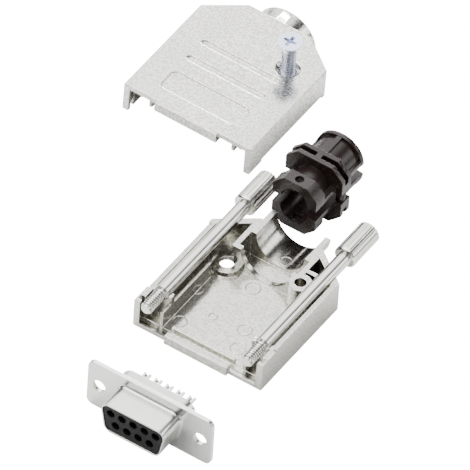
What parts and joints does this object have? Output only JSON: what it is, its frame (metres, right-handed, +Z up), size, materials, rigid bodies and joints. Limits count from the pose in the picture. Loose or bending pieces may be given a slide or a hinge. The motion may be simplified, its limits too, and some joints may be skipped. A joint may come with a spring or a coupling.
{
  "type": "d-sub connector",
  "caption": "D-sub socket connector kit laid out open: metal hood halves, long thumb jack screws, cable clamp, cover screw and soldered socket insert.",
  "frame": {"origin": "middle of the flat underside of the lower hood half", "axes": "+Y from the mating end towards the cable end, +X to the right seen from the mating end, +Z up out of the open lower half"},
  "size_m": [0.0717, 0.1183, 0.0157],
  "materials": {
    "cast_hood": "satin nickel plate over a zinc casting",
    "zinc_screw": "bright zinc plate, slightly blue",
    "nickel_screw": "bright nickel plate",
    "clamp_plastic": "satin dark brown-black",
    "tinned_shell": "satin tin plate",
    "socket_plastic": "matt dark grey",
    "contact_metal": "tin plate over brass"
  },
  "bodies": {
    "kit": {"lower_half": "cast_hood", "upper_half": "cast_hood", "cover_screw": "zinc_screw", "clamp_lower": "clamp_plastic", "clamp_upper": "clamp_plastic", "front_shell": "tinned_shell", "rear_shell": "tinned_shell", "socket_block": "socket_plastic", "rear_insulator": "socket_plastic", "contact_1": "contact_metal", "contact_2": "contact_metal", "contact_3": "contact_metal", "contact_4": "contact_metal", "contact_5": "contact_metal", "contact_6": "contact_metal", "contact_7": "contact_metal", "contact_8": "contact_metal", "contact_9": "contact_metal"},
    "left_jack": {"jack_screw_left": "nickel_screw"},
    "right_jack": {"jack_screw_right": "nickel_screw"}
  },
  "joints": [
    {"name": "jack_spin_left", "type": "hinge", "parent": "kit", "child": "left_jack", "pos_m": [-0.0125, 0, 0.0075], "axis": [0, 1, 0], "continuous": true},
    {"name": "jack_spin_right", "type": "hinge", "parent": "kit", "child": "right_jack", "pos_m": [0.0125, 0, 0.0075], "axis": [0, 1, 0], "continuous": true}
  ]
}
